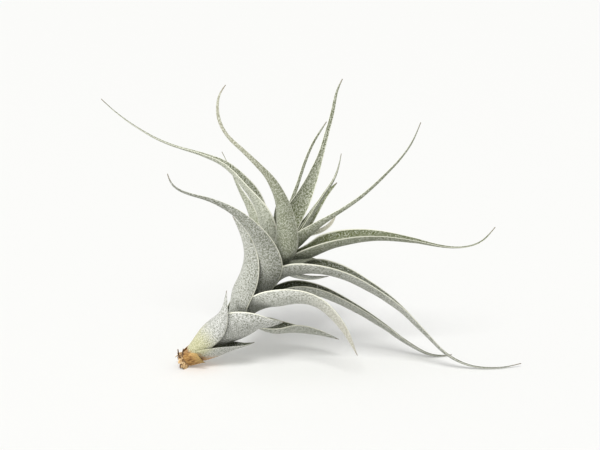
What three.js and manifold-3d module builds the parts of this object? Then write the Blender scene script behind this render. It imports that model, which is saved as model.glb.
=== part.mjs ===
// Air plant: a stemmed Tillandsia, lying on the dry stub of its stem and on the tips of its leaves.
// Millimetres, +Z up. The origin is in one of the small flats under the stub.
// Each leaf is a closed solid: a sheath that wraps the stem as part of a cone, then a channelled blade.
import * as THREE from 'three';
import Module from 'manifold-3d';
import { mergeVertices } from 'three/addons/utils/BufferGeometryUtils.js';

// ---- stem ----
const STEM_LINE = [
  [-2.6, 0, 3], [7, 0, 10], [16, 0, 17.6], [25, 0, 26.2], [32, 0, 36],
  [38, 0, 45], [42, 0, 54], [46, 0, 63], [50, 0, 71], [54, 0, 80],
];
const STUB_START = 1.2;       // where along the line the stem is broken off
const STEM_LENGTH = 83;       // where along the line its growing tip is
const STEM_RADII = [          // distance along the line, radius
  [1.2, 2.8], [2.2, 3.4], [5, 3.4], [9, 3.1], [14, 2.8], [24, 2.5], [45, 2.3], [83, 2],
];
const STEM_SIDES = 14;
const STEM_STEPS = 22;
// Torn ends of old sheaths: degrees round the stub, share of the full length and of the full spread.
const FLAKES = [
  [15, 0.35, 0.55], [75, 0.7, 0.75], [128, 1, 1], [180, 1, 1], [238, 1, 1], [300, 0.6, 0.7],
];
const FLAKE_ROWS = [          // distance along the line, radius, half its angle in degrees
  [2.2, 2.9, 24], [0.8, 4.3, 25], [-1, 4.9, 22], [-2.6, 5.1, 9],
];
const FLAKE_WALL = 0.8;
const FLAKE_SIDES = 3;
const ROOT_RADIUS = 0.42;
const ROOT_SIDES = 5;
const ROOT_STEPS = 5;
const ROOTS = [               // dry roots, from inside the stub to their broken tips
  [[-1.2, 0, 3.4], [-2.3, -0.5, 6], [-3, -0.9, 8.8]],
  [[-0.9, -0.5, 3.8], [-1.5, -1.2, 6.4], [-1.2, -1.6, 9]],
  [[-0.6, 1, 3], [-2.4, 3.6, 5], [-3.4, 5.6, 4.4]],
  [[-0.6, 1, 2.6], [-0.8, 4.6, 3], [-1.2, 7.2, 1.8]],
];

const CUT_BLOCK = 60;         // side of the block that cuts the stub flat
const CURVE_DIVISIONS = 300;  // for lengths along curves

// ---- sheaths, nested like cones ----
const SEAT_GAP = 0.3;         // clear space between a sheath and what it grows from
const SHEATH_WALL = 0.68;
const SHEATH_LENGTH = 12;
const SHEATH_FLARE = 0.5;     // how much its radius grows along the stem, in mm per mm
const SHEATH_STEPS = 3;
const SHEATH_SIDES = 8;
const BASE_WRAP = 105;        // degrees that a sheath wraps to each side of its middle, at its base
const END_WRAP = 50;          // and where the blade leaves it

// ---- blades ----
const BLADE_STEP = 8;         // length of one row of facets
const BLADE_BLEND = 12;       // length in which the sheath's width goes over into the blade's
const ROLL_BLEND = 30;        // length in which a blade that turns about its own middle does so
const BLADE_HALF_WIDTH = 7;   // round the channel, where the blade starts
const BLADE_FULLNESS = 1.25;  // over 1 keeps the blade wide further out
const TAIL_SHARE = 0.25;      // share of the width that is left to taper past a leaf's neck
const TIP_HALF_WIDTH = 0.42;
const BLADE_WALL = 1.15;      // along the middle of the blade
const EDGE_WALL = 0.64;
const TIP_WALL = 0.66;
const CHANNEL_ANGLE = 72;     // degrees from the middle of the channel to its edge
const TIP_CHANNEL_ANGLE = 45;
const SMALLEST_CHANNEL = 1.7; // least radius of the channel
const FEWEST_ROWS = 5;
const WIDE = 4.5;             // half widths over which a row has six facets across, and four
const NARROW = 1.9;

// Leaves from the base up. at: where the sheath starts, along the stem. turn: degrees round the
// stem, 0 upper left, 90 to the front, 180 lower right, 270 to the back. path: the blade's middle.
// Where given: sheath, flare and endWrap replace SHEATH_LENGTH, SHEATH_FLARE and END_WRAP, half and
// full replace BLADE_HALF_WIDTH and BLADE_FULLNESS, and roll turns the blade about its own middle.
// neck: the part of the blade's length by which it has become narrow. tail replaces TAIL_SHARE.
const LEAVES = [
  { at: 4.6, turn: 160, sheath: 14, flare: 0.36, endWrap: 60, half: 7, roll: 38, tone: 'lower',
    path: [[24, -5.6, 11.4], [29, -6.6, 12.8], [34, -5.4, 14.8]] },
  { at: 6.5, turn: 45, sheath: 13, flare: 0.32, half: 9.5, neck: 0.95, tail: 0.15, tone: 'lower',
    path: [[15, -9.2, 25.4], [19, -10.6, 33.4], [20.7, -9.6, 43]] },
  { at: 10, turn: 285, sheath: 11, flare: 0.3, half: 5.5, tone: 'lower',
    path: [[17, 16, 20], [16, 27, 12], [16, 37, 3.9], [15, 46, 1.1], [13, 54, 2.4]] },
  { at: 17, turn: 118, sheath: 16, flare: 0.42, endWrap: 60, half: 12.2, full: 1.1, tone: 'lower',
    path: [[33, -14, 27.2], [41, -15, 28.4], [48, -14, 29.2]] },
  { at: 24, turn: 210, sheath: 14, flare: 0.46, endWrap: 42, half: 9, full: 2, roll: -34, tone: 'middle',
    path: [[41, 3, 17.2], [50, 5.5, 15.8], [63, 7, 14.5], [76, 7, 12]] },
  { at: 29, turn: 268, half: 8, tone: 'middle',
    path: [[30, 24, 32], [32, 41, 31], [33, 58, 26], [33, 72, 17]] },
  { at: 33, turn: 32, sheath: 13, endWrap: 56, half: 10, full: 1.9, tone: 'middle',
    path: [[29, -10.5, 52], [30.5, -12, 61], [28.5, -11, 71], [24, -8, 80]] },
  { at: 38, turn: 130, endWrap: 49, half: 11.2, full: 1.7, tone: 'middle',
    path: [[44.2, -15, 36.6], [50, -19, 39.3], [57, -21.5, 40.6], [64, -23, 39.4], [70, -24, 35],
      [76, -24, 28.2], [84, -23, 14.4]] },
  { at: 41, turn: 312, endWrap: 46, half: 8, full: 1.4, tone: 'middle',
    path: [[28, 18, 48], [31, 34, 51], [33, 52, 54], [35, 67, 52]] },
  { at: 45, turn: 172, half: 9.8, full: 1.1, roll: 3, tone: 'middle',
    path: [[54, 0, 39], [66, 3, 36], [81, 7, 28], [97, 10, 17.5], [112, 12, 6.5], [124, 13.5, 0.4],
      [134, 15, 0.9]] },
  { at: 48, turn: 70, endWrap: 54, half: 9.6, neck: 0.8, tone: 'middle',
    path: [[39.8, -16.9, 57.1], [37.6, -20, 68], [32.4, -23, 77.5], [25, -24, 85.5], [14, -25, 92],
      [4, -25, 95], [-3, -26, 99], [-5, -26, 105]] },
  { at: 51, turn: 255, tone: 'middle',
    path: [[46, 18, 44], [54, 31, 37], [62.5, 43, 32.6], [71.5, 53, 31]] },
  { at: 54, turn: 144, endWrap: 48, half: 11.6, neck: 0.86, tail: 0.2, roll: 10, tone: 'middle',
    path: [[54.4, -10.6, 51], [64, -15.2, 53.6], [76, -15, 51], [89, -13, 44], [103, -10, 34],
      [117, -7, 20], [130, -5, 7], [142, -4, 1.3], [155, -3, 0.3], [167, -1, 2]] },
  { at: 56, turn: 349, half: 12.4, neck: 0.85, roll: 6, tone: 'upper',
    path: [[33, 8, 66], [30.6, 15, 76], [25.4, 22, 86], [21, 28, 96], [17, 32, 103]] },
  { at: 58, turn: 215, half: 8, full: 1.4, tone: 'upper',
    path: [[56, 15, 49], [65, 33, 43], [74, 52, 36], [81, 68, 28]] },
  { at: 60, turn: 88, half: 7.9, neck: 0.65, tone: 'upper',
    path: [[49, -17.7, 65], [49.5, -21, 78], [47.8, -23, 90], [42.4, -24, 102], [36, -24, 109.3],
      [29, -22, 116], [23, -20, 121], [19, -19, 128], [18, -18, 135], [19, -17, 141], [22, -16, 145]] },
  { at: 62, turn: 300, half: 8, full: 1.4, tone: 'upper',
    path: [[42, 18.6, 62], [43.6, 34, 61], [47, 50, 56], [50, 63, 46]] },
  { at: 64, turn: 172, half: 12.8, neck: 0.85, tail: 0.15, roll: 14, tone: 'upper',
    path: [[60.6, -3.4, 57.2], [67, -6, 61.2], [76, -5, 64.4], [88, -3, 66.2], [101, -1, 65.8],
      [115, 3, 63.2], [127, 6, 60.2], [138, 9, 59.4], [147, 12, 61.5], [154, 16, 68]] },
  { at: 66, turn: 40, half: 9.6, neck: 0.62, tail: 0.26, roll: -42, tone: 'upper',
    path: [[37.3, -6.9, 76], [33.2, -2.4, 86], [26.4, 1, 95], [19, 4, 102], [6, 8, 107], [-6, 12, 110],
      [-18, 15, 115], [-32, 18, 124], [-41, 20, 132]] },
  { at: 68, turn: 232, half: 3.4, tone: 'upper',
    path: [[59, 17, 63], [66, 24, 63], [72, 32, 65], [75, 37, 69]] },
  { at: 70, turn: 134, half: 6, neck: 0.37, tail: 0.38, tone: 'upper',
    path: [[61, -10, 71], [68, -14, 78], [76, -16, 84], [86, -15, 91], [95, -13, 99], [104, -10, 108],
      [110, -7, 116], [114, -4, 125]] },
  { at: 72, turn: 228, endWrap: 40, half: 4.4, tone: 'upper',
    path: [[59, 13, 68], [65, 17, 77], [70, 21, 84], [75, 24, 89]] },
  { at: 74, turn: 318, sheath: 11, half: 5, neck: 0.4, tone: 'upper',
    path: [[49, 20, 74], [54, 28, 84], [58, 34, 95], [63, 40, 106], [70, 45, 116]] },
  { at: 76, turn: 176, sheath: 10, half: 5.4, full: 1.1, tone: 'upper',
    path: [[62, 3, 75], [68, 7, 85], [74, 11, 94], [76, 13, 100], [77, 14, 106]] },
  { at: 78, turn: 60, sheath: 8, half: 5, tone: 'upper',
    path: [[45, -8, 80], [46, -7, 88]] },
  { at: 80, turn: 275, sheath: 8, half: 5.6, neck: 0.6, tail: 0.32, tone: 'upper',
    path: [[56.5, 18, 80], [62, 25, 90], [67, 32, 102], [70, 36, 112], [73, 40, 122], [75, 43, 132],
      [78, 45, 138]] },
];

// Dry sheaths that still hold to the foot of the stem. wrap and step replace BASE_WRAP and BLADE_STEP.
const DRY_SHEATHS = [
  { at: 2.6, turn: 110, sheath: 5, flare: 0.44, wrap: 80, half: 7.5, full: 2, step: 3,
    path: [[6.6, -7.8, 6.2], [7.8, -8.4, 6.8]] },
  { at: 2.6, turn: 262, sheath: 5, flare: 0.44, wrap: 66, half: 7, full: 2, step: 3,
    path: [[5.6, 8.1, 7.6], [6.7, 8.7, 8.3]] },
];

// ---- colours ----
const STUB_COLOUR = new THREE.Color(0.62, 0.40, 0.20);
const STRAW_COLOUR = new THREE.Color(0.66, 0.47, 0.24);
const LEAF_COLOURS = {
  lower: new THREE.Color(0.44, 0.45, 0.30),
  middle: new THREE.Color(0.44, 0.49, 0.41),
  upper: new THREE.Color(0.40, 0.47, 0.37),
};
const DRY_ROUGHNESS = 0.9;
const LEAF_ROUGHNESS = 0.85;
const MERGE_DISTANCE = 1e-4;

// A smooth line through points, measured along its own length.
function smoothLine(points) {
  const line = new THREE.CatmullRomCurve3(points, false, 'centripetal');
  line.arcLengthDivisions = CURVE_DIVISIONS;
  return line;
}

const vector = (p) => new THREE.Vector3(...p);
const stemCurve = smoothLine(STEM_LINE.map(vector));
const stemCurveLength = stemCurve.getLength();

const radians = THREE.MathUtils.degToRad;
const mix = THREE.MathUtils.lerp;
const ease = THREE.MathUtils.smoothstep;

// Point of the stem's line and its tangent. Past the last point it runs straight on.
function stemAt(distance) {
  const part = THREE.MathUtils.clamp(distance / stemCurveLength, 0, 1);
  const point = stemCurve.getPointAt(part);
  const tangent = stemCurve.getTangentAt(part);
  const past = distance - part * stemCurveLength;
  return { point: point.addScaledVector(tangent, past), tangent };
}

// Direction out from the stem at a turn round it.
function outward(tangent, turn) {
  const up = new THREE.Vector3(-tangent.z, 0, tangent.x);
  const front = new THREE.Vector3(0, -1, 0);
  return up.multiplyScalar(Math.cos(radians(turn))).addScaledVector(front, Math.sin(radians(turn)));
}

// Value at a distance in a list of [distance, value].
function along(list, distance) {
  for (let i = 1; i < list.length; i += 1) {
    const [a, va] = list[i - 1];
    const [b, vb] = list[i];
    if (distance <= b) return mix(va, vb, Math.max(0, (distance - a) / (b - a)));
  }
  return list[list.length - 1][1];
}

// One row across a leaf: arcs of its outer and inner faces, from the left edge to the right.
function arcRow({ middle, inward, sideways, radius, angle, wall, edge, sides }) {
  const centre = middle.clone().addScaledVector(inward, radius);
  const row = { outer: [], inner: [] };
  for (let i = 0; i <= sides; i += 1) {
    const part = (2 * i) / sides - 1;
    const a = part * angle;
    const out = inward.clone().multiplyScalar(-Math.cos(a)).addScaledVector(sideways, Math.sin(a));
    const thick = mix(edge, wall, Math.cos(part * Math.PI / 2) ** 2);
    row.outer.push(centre.clone().addScaledVector(out, radius));
    row.inner.push(centre.clone().addScaledVector(out, radius - thick));
  }
  return row;
}

// Rows of the sheath: arcs round the stem, each on a slightly wider circle.
function sheathRows(leaf) {
  const length = leaf.sheath ?? SHEATH_LENGTH;
  const flare = leaf.flare ?? SHEATH_FLARE;
  const seat = along(STEM_RADII, leaf.at) + SEAT_GAP + SHEATH_WALL;
  const rows = [];
  for (let i = 0; i <= SHEATH_STEPS; i += 1) {
    const part = i / SHEATH_STEPS;
    const { point, tangent } = stemAt(leaf.at + part * length);
    const out = outward(tangent, leaf.turn);
    const radius = seat + flare * part * length;
    rows.push({
      middle: point.clone().addScaledVector(out, radius),
      inward: out.clone().negate(),
      sideways: new THREE.Vector3().crossVectors(tangent, out).negate(),
      radius,
      angle: radians(mix(leaf.wrap ?? BASE_WRAP, leaf.endWrap ?? END_WRAP, part)),
      wall: SHEATH_WALL,
      edge: SHEATH_WALL,
      sides: SHEATH_SIDES,
    });
  }
  return rows;
}

function bladeSides(halfWidth) {
  if (halfWidth > WIDE) return 6;
  return halfWidth > NARROW ? 4 : 2;
}

// Half the blade's width at a part of its length. A leaf with a neck is narrow past it.
function bladeHalfWidth(leaf, part) {
  const half = leaf.half ?? BLADE_HALF_WIDTH;
  if (!leaf.neck) return mix(half, TIP_HALF_WIDTH, part ** (leaf.full ?? BLADE_FULLNESS));
  const tail = leaf.tail ?? TAIL_SHARE;
  const broad = (1 - tail) * (1 - ease(part, 0, leaf.neck));
  return TIP_HALF_WIDTH + half * (broad + tail * (1 - part));
}

// Rows of the blade: the channel is carried along the path without turning round it.
function bladeRows(leaf, sheath) {
  const last = sheath[sheath.length - 1];
  const before = sheath[sheath.length - 2];
  const curve = smoothLine([before.middle, last.middle, ...leaf.path.map(vector)]);
  const whole = curve.getLength();
  const start = before.middle.distanceTo(last.middle) / whole;
  const length = whole * (1 - start);
  const count = Math.max(FEWEST_ROWS, Math.round(length / (leaf.step ?? BLADE_STEP)));
  const startWidth = last.radius * last.angle;
  const tangent = curve.getTangentAt(start);
  const sideways = last.sideways.clone();
  const rows = [];
  for (let i = 1; i <= count; i += 1) {
    const part = i / count;
    const travelled = part * length;
    const next = curve.getTangentAt(start + (1 - start) * part);
    sideways.applyQuaternion(new THREE.Quaternion().setFromUnitVectors(tangent, next));
    tangent.copy(next);
    sideways.addScaledVector(tangent, -sideways.dot(tangent)).normalize();
    const inward = new THREE.Vector3().crossVectors(tangent, sideways).negate();
    const free = ease(travelled, 0, BLADE_BLEND);
    const roll = radians(leaf.roll ?? 0) * ease(travelled, 0, ROLL_BLEND);
    const across = sideways.clone().multiplyScalar(Math.cos(roll)).addScaledVector(inward, -Math.sin(roll));
    inward.multiplyScalar(Math.cos(roll)).addScaledVector(sideways, Math.sin(roll));
    inward.lerp(last.inward, 1 - free).normalize();
    const width = mix(startWidth, bladeHalfWidth(leaf, part), free);
    const angle = mix(last.angle, radians(mix(CHANNEL_ANGLE, TIP_CHANNEL_ANGLE, part)), free);
    const radius = Math.max(width / angle, SMALLEST_CHANNEL);
    rows.push({
      middle: curve.getPointAt(start + (1 - start) * part),
      inward,
      sideways: across,
      radius,
      angle: width / radius,
      wall: mix(mix(SHEATH_WALL, BLADE_WALL, free), TIP_WALL, part),
      edge: mix(EDGE_WALL, TIP_WALL, part),
      sides: bladeSides(width),
    });
  }
  return rows;
}

// Joins two lists of points, which may differ in number, with a strip of triangles.
function strip(triangles, low, high) {
  let a = 0;
  let b = 0;
  while (a < low.length - 1 || b < high.length - 1) {
    const nextA = (a + 1) / (low.length - 1);
    const nextB = (b + 1) / (high.length - 1);
    if (b >= high.length - 1 || (a < low.length - 1 && nextA <= nextB)) {
      triangles.push(low[a], high[b], low[a + 1]);
      a += 1;
    } else {
      triangles.push(low[a], high[b], high[b + 1]);
      b += 1;
    }
  }
}

function reversed(list) {
  return [...list].reverse();
}

// Closes one end of a leaf.
function cap(triangles, row, atStart) {
  const { outer, inner } = row;
  for (let i = 1; i < outer.length; i += 1) {
    const quad = [outer[i - 1], outer[i], inner[i], inner[i - 1]];
    if (!atStart) quad.reverse();
    triangles.push(quad[0], quad[1], quad[2], quad[0], quad[2], quad[3]);
  }
}

// A geometry from a list of corners, three to a triangle.
function closed(triangles) {
  const geometry = new THREE.BufferGeometry();
  const numbers = triangles.flatMap((corner) => corner.toArray());
  geometry.setAttribute('position', new THREE.Float32BufferAttribute(numbers, 3));
  return mergeVertices(geometry, MERGE_DISTANCE);
}

// A closed geometry through rows of arcs.
function skin(rowList) {
  const rows = rowList.map(arcRow);
  const triangles = [];
  for (let i = 1; i < rows.length; i += 1) {
    const low = rows[i - 1];
    const high = rows[i];
    const last = (list) => list[list.length - 1];
    strip(triangles, low.outer, high.outer);
    strip(triangles, reversed(low.inner), reversed(high.inner));
    strip(triangles, [last(low.outer), last(low.inner)], [last(high.outer), last(high.inner)]);
    strip(triangles, [low.inner[0], low.outer[0]], [high.inner[0], high.outer[0]]);
  }
  cap(triangles, rows[0], true);
  cap(triangles, rows[rows.length - 1], false);
  return closed(triangles);
}

function leafMesh(leaf, name, colour, roughness) {
  const sheath = sheathRows(leaf);
  const geometry = skin([...sheath, ...bladeRows(leaf, sheath)]);
  const material = new THREE.MeshStandardMaterial({ color: colour, roughness, metalness: 0 });
  const mesh = new THREE.Mesh(geometry, material);
  mesh.name = name;
  return mesh;
}

// The bare stem: rings along its line, closed at both ends.
function stemGeometry() {
  const rings = [];
  for (let i = 0; i <= STEM_STEPS; i += 1) {
    const distance = STUB_START + ((STEM_LENGTH - STUB_START) * i) / STEM_STEPS;
    const { point, tangent } = stemAt(distance);
    const radius = along(STEM_RADII, distance);
    const ring = [];
    for (let k = 0; k <= STEM_SIDES; k += 1) {
      ring.push(point.clone().addScaledVector(outward(tangent, (360 * k) / STEM_SIDES), radius));
    }
    rings.push(ring);
  }
  const triangles = [];
  for (let i = 1; i < rings.length; i += 1) strip(triangles, rings[i], rings[i - 1]);
  const foot = stemAt(STUB_START).point;
  const tip = stemAt(STEM_LENGTH).point;
  for (let k = 1; k <= STEM_SIDES; k += 1) {
    triangles.push(foot, rings[0][k], rings[0][k - 1]);
    triangles.push(tip, rings[STEM_STEPS][k - 1], rings[STEM_STEPS][k]);
  }
  return closed(triangles);
}

// A torn sheath end: arcs round the stem that open backwards, past the stub's end.
function flakeGeometry([turn, reach, spread]) {
  const [start, narrow] = FLAKE_ROWS[0];
  const rows = FLAKE_ROWS.map(([distance, wide, half]) => {
    const { point, tangent } = stemAt(start + (distance - start) * reach);
    const radius = narrow + (wide - narrow) * spread;
    const out = outward(tangent, turn);
    return {
      middle: point.clone().addScaledVector(out, radius),
      inward: out.clone().negate(),
      sideways: new THREE.Vector3().crossVectors(tangent, out),
      radius,
      angle: radians(half),
      wall: FLAKE_WALL,
      edge: FLAKE_WALL,
      sides: FLAKE_SIDES,
    };
  });
  return skin(rows);
}

function rootGeometry(points) {
  const section = new THREE.Shape();
  for (let k = 0; k < ROOT_SIDES; k += 1) {
    const a = (2 * Math.PI * k) / ROOT_SIDES;
    const corner = [ROOT_RADIUS * Math.cos(a), ROOT_RADIUS * Math.sin(a)];
    if (k) section.lineTo(...corner);
    else section.moveTo(...corner);
  }
  const line = smoothLine(points.map(vector));
  return new THREE.ExtrudeGeometry(section, { steps: ROOT_STEPS, extrudePath: line });
}

const wasm = await Module();
wasm.setup();

function solidFrom(source) {
  const bare = source.clone();
  bare.deleteAttribute('normal');
  bare.deleteAttribute('uv');
  const merged = mergeVertices(bare, MERGE_DISTANCE);
  const vertProperties = Float32Array.from(merged.getAttribute('position').array);
  const triVerts = Uint32Array.from(merged.index.array);
  return new wasm.Manifold(new wasm.Mesh({ numProp: 3, vertProperties, triVerts }));
}

function geometryFrom(solid) {
  const { vertProperties, triVerts } = solid.getMesh();
  const geometry = new THREE.BufferGeometry();
  geometry.setAttribute('position', new THREE.BufferAttribute(Float32Array.from(vertProperties), 3));
  geometry.setIndex(new THREE.BufferAttribute(Uint32Array.from(triVerts), 1));
  return geometry;
}

// Stem, torn sheath ends and roots in one piece, cut flat where it lies on the surface.
function stemMesh() {
  const parts = [stemGeometry(), ...FLAKES.map(flakeGeometry), ...ROOTS.map(rootGeometry)];
  const whole = wasm.Manifold.union(parts.map(solidFrom));
  const below = new THREE.BoxGeometry(CUT_BLOCK, CUT_BLOCK, CUT_BLOCK);
  below.translate(0, 0, -CUT_BLOCK / 2);
  const cut = whole.subtract(solidFrom(below));
  const look = { color: STUB_COLOUR, roughness: DRY_ROUGHNESS, metalness: 0 };
  const mesh = new THREE.Mesh(geometryFrom(cut), new THREE.MeshStandardMaterial(look));
  mesh.name = 'stem';
  return mesh;
}

const plant = new THREE.Group();
plant.add(stemMesh());
DRY_SHEATHS.forEach((sheath, index) => {
  plant.add(leafMesh(sheath, `dry_sheath_${index + 1}`, STRAW_COLOUR, DRY_ROUGHNESS));
});
LEAVES.forEach((leaf, index) => {
  const name = `leaf_${String(index + 1).padStart(2, '0')}`;
  plant.add(leafMesh(leaf, name, LEAF_COLOURS[leaf.tone], LEAF_ROUGHNESS));
});
export default plant;
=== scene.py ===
"""An air plant on a pale floor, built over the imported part.

Fine leaves, papery sheaths and a frayed stub replace its solids. Lengths in the tables are
millimetres, as on the part, and MM takes them to metres.
"""

import math

import bpy
import numpy as np
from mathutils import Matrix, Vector, noise


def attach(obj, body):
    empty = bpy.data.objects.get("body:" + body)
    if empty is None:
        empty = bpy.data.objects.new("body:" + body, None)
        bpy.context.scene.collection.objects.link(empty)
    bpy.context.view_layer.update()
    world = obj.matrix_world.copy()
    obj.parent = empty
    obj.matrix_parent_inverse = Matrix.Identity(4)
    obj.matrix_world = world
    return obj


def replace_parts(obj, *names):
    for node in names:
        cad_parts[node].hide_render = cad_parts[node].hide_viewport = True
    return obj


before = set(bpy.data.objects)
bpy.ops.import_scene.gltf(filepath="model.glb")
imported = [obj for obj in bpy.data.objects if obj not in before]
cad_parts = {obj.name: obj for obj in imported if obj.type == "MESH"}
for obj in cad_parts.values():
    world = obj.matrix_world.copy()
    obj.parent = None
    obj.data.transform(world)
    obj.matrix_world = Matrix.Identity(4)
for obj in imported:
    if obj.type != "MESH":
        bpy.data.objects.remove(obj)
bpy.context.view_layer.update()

MM = 0.001

# ---- camera: the photograph's angle ----
LENS = 85.0            # on a sensor 36 mm wide
SENSOR = 36.0
TARGET = (56.5, 0.0, 73.5)
CAMERA_DISTANCE = 690.0
CAMERA_ELEVATION = 15.0
CLIP_START = 0.01      # metres

# ---- floor and light ----
FLOOR_HALF_SIDE = 12.0   # metres
FLOOR_COLOUR = (0.9, 0.9, 0.885, 1.0)
WORLD_COLOUR = (1.0, 1.0, 0.995, 1.0)
WORLD_STRENGTH = 0.4
# Wide soft suns: name, the direction it stands in, its width in degrees, strength, whether it
# lights the floor alone or everything but the floor, and whether it casts shadows.
SUNS = [
    ("top", (-0.12, -0.8, 1.0), 45.0, 2.2, False, True),
    ("key", (-0.9, -0.25, 0.6), 20.0, 1.9, False, True),
    ("back", (0.5, 1.0, 0.45), 50.0, 1.3, False, True),
    ("top_on_floor", (-0.1, -0.95, 1.0), 22.0, 2.1, True, True),
    ("fill_on_floor", (0.0, 0.0, 1.0), 10.0, 0.65, True, False),
]

# ---- stem, as on the part ----
STEM_LINE = [
    (-2.6, 0, 3), (7, 0, 10), (16, 0, 17.6), (25, 0, 26.2), (32, 0, 36),
    (38, 0, 45), (42, 0, 54), (46, 0, 63), (50, 0, 71), (54, 0, 80),
]
STUB_START = 1.2
STEM_LENGTH = 83.0
STEM_RADII = [   # distance along the stem, radius
    (1.2, 2.8), (2.2, 3.4), (5, 3.4), (9, 3.1), (14, 2.8), (24, 2.5), (45, 2.3), (83, 2.0),
]

# ---- leaves ----
SEAT_GAP = 0.3
SHEATH_WALL = 0.68
SHEATH_LENGTH = 12.0
SHEATH_FLARE = 0.5
BASE_WRAP = 105.0
END_WRAP = 50.0
BLADE_BLEND = 12.0
ROLL_BLEND = 30.0
BLADE_HALF_WIDTH = 7.0
BLADE_FULLNESS = 1.25
TAIL_SHARE = 0.25
BLADE_WALL = 1.15
CHANNEL_ANGLE = 72.0
TIP_CHANNEL_ANGLE = 45.0
SMALLEST_CHANNEL = 1.7

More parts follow.
